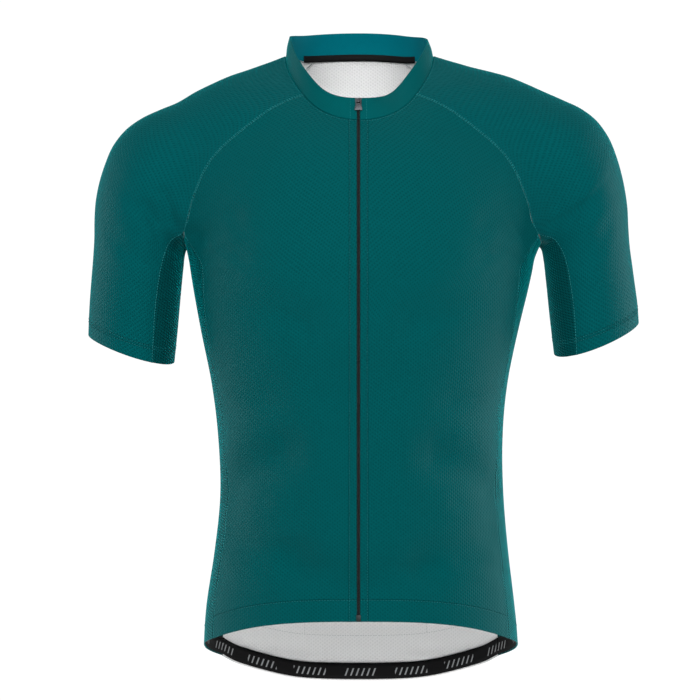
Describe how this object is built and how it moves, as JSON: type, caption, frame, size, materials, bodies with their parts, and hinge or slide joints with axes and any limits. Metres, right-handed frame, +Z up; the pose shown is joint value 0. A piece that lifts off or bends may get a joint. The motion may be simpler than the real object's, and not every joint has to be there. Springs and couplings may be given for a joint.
{
  "type": "cycling jersey",
  "caption": "Short-sleeved raglan jersey filled out as if worn, with a stand collar, full-length zip, mesh side panels, elastic gripper in a drop-tail hem and rear pockets.",
  "frame": {"origin": "middle of the neck, level with the collar seam at the sides", "axes": "+X to the viewer's right, the wearer's left; +Y to the back, so the front faces -Y; +Z up"},
  "size_m": [0.6062, 0.2399, 0.7316],
  "materials": {
    "knit_cloth": "fine pique knit, soft sheen",
    "mesh_cloth": "open ribbed mesh, matt",
    "collar_cloth": "smooth plain knit",
    "black_tape": "woven tape",
    "elastic": "woven elastic with silicone marks",
    "zip_plastic": "moulded coil",
    "zip_metal": "dark gunmetal lacquer"
  },
  "bodies": {
    "jersey": {"front_left": "knit_cloth", "front_right": "knit_cloth", "back": "knit_cloth", "sleeve_left": "knit_cloth", "sleeve_right": "knit_cloth", "rear_pockets": "knit_cloth", "side_left": "mesh_cloth", "side_right": "mesh_cloth", "underarm_left": "mesh_cloth", "underarm_right": "mesh_cloth", "collar": "collar_cloth", "neck_tape": "black_tape", "zip_tape_left": "black_tape", "zip_tape_right": "black_tape", "hem_gripper": "elastic", "zip_coil": "zip_plastic", "zip_box": "zip_plastic", "zip_slider": "zip_metal"},
    "pull_tab": {"zip_pull": "zip_metal"}
  },
  "joints": [
    {"name": "pull_swing", "type": "hinge", "parent": "jersey", "child": "pull_tab", "pos_m": [-0.0015, -0.0755, -0.0533], "axis": [-1, 0, 0], "range_deg": [0, 170]}
  ]
}
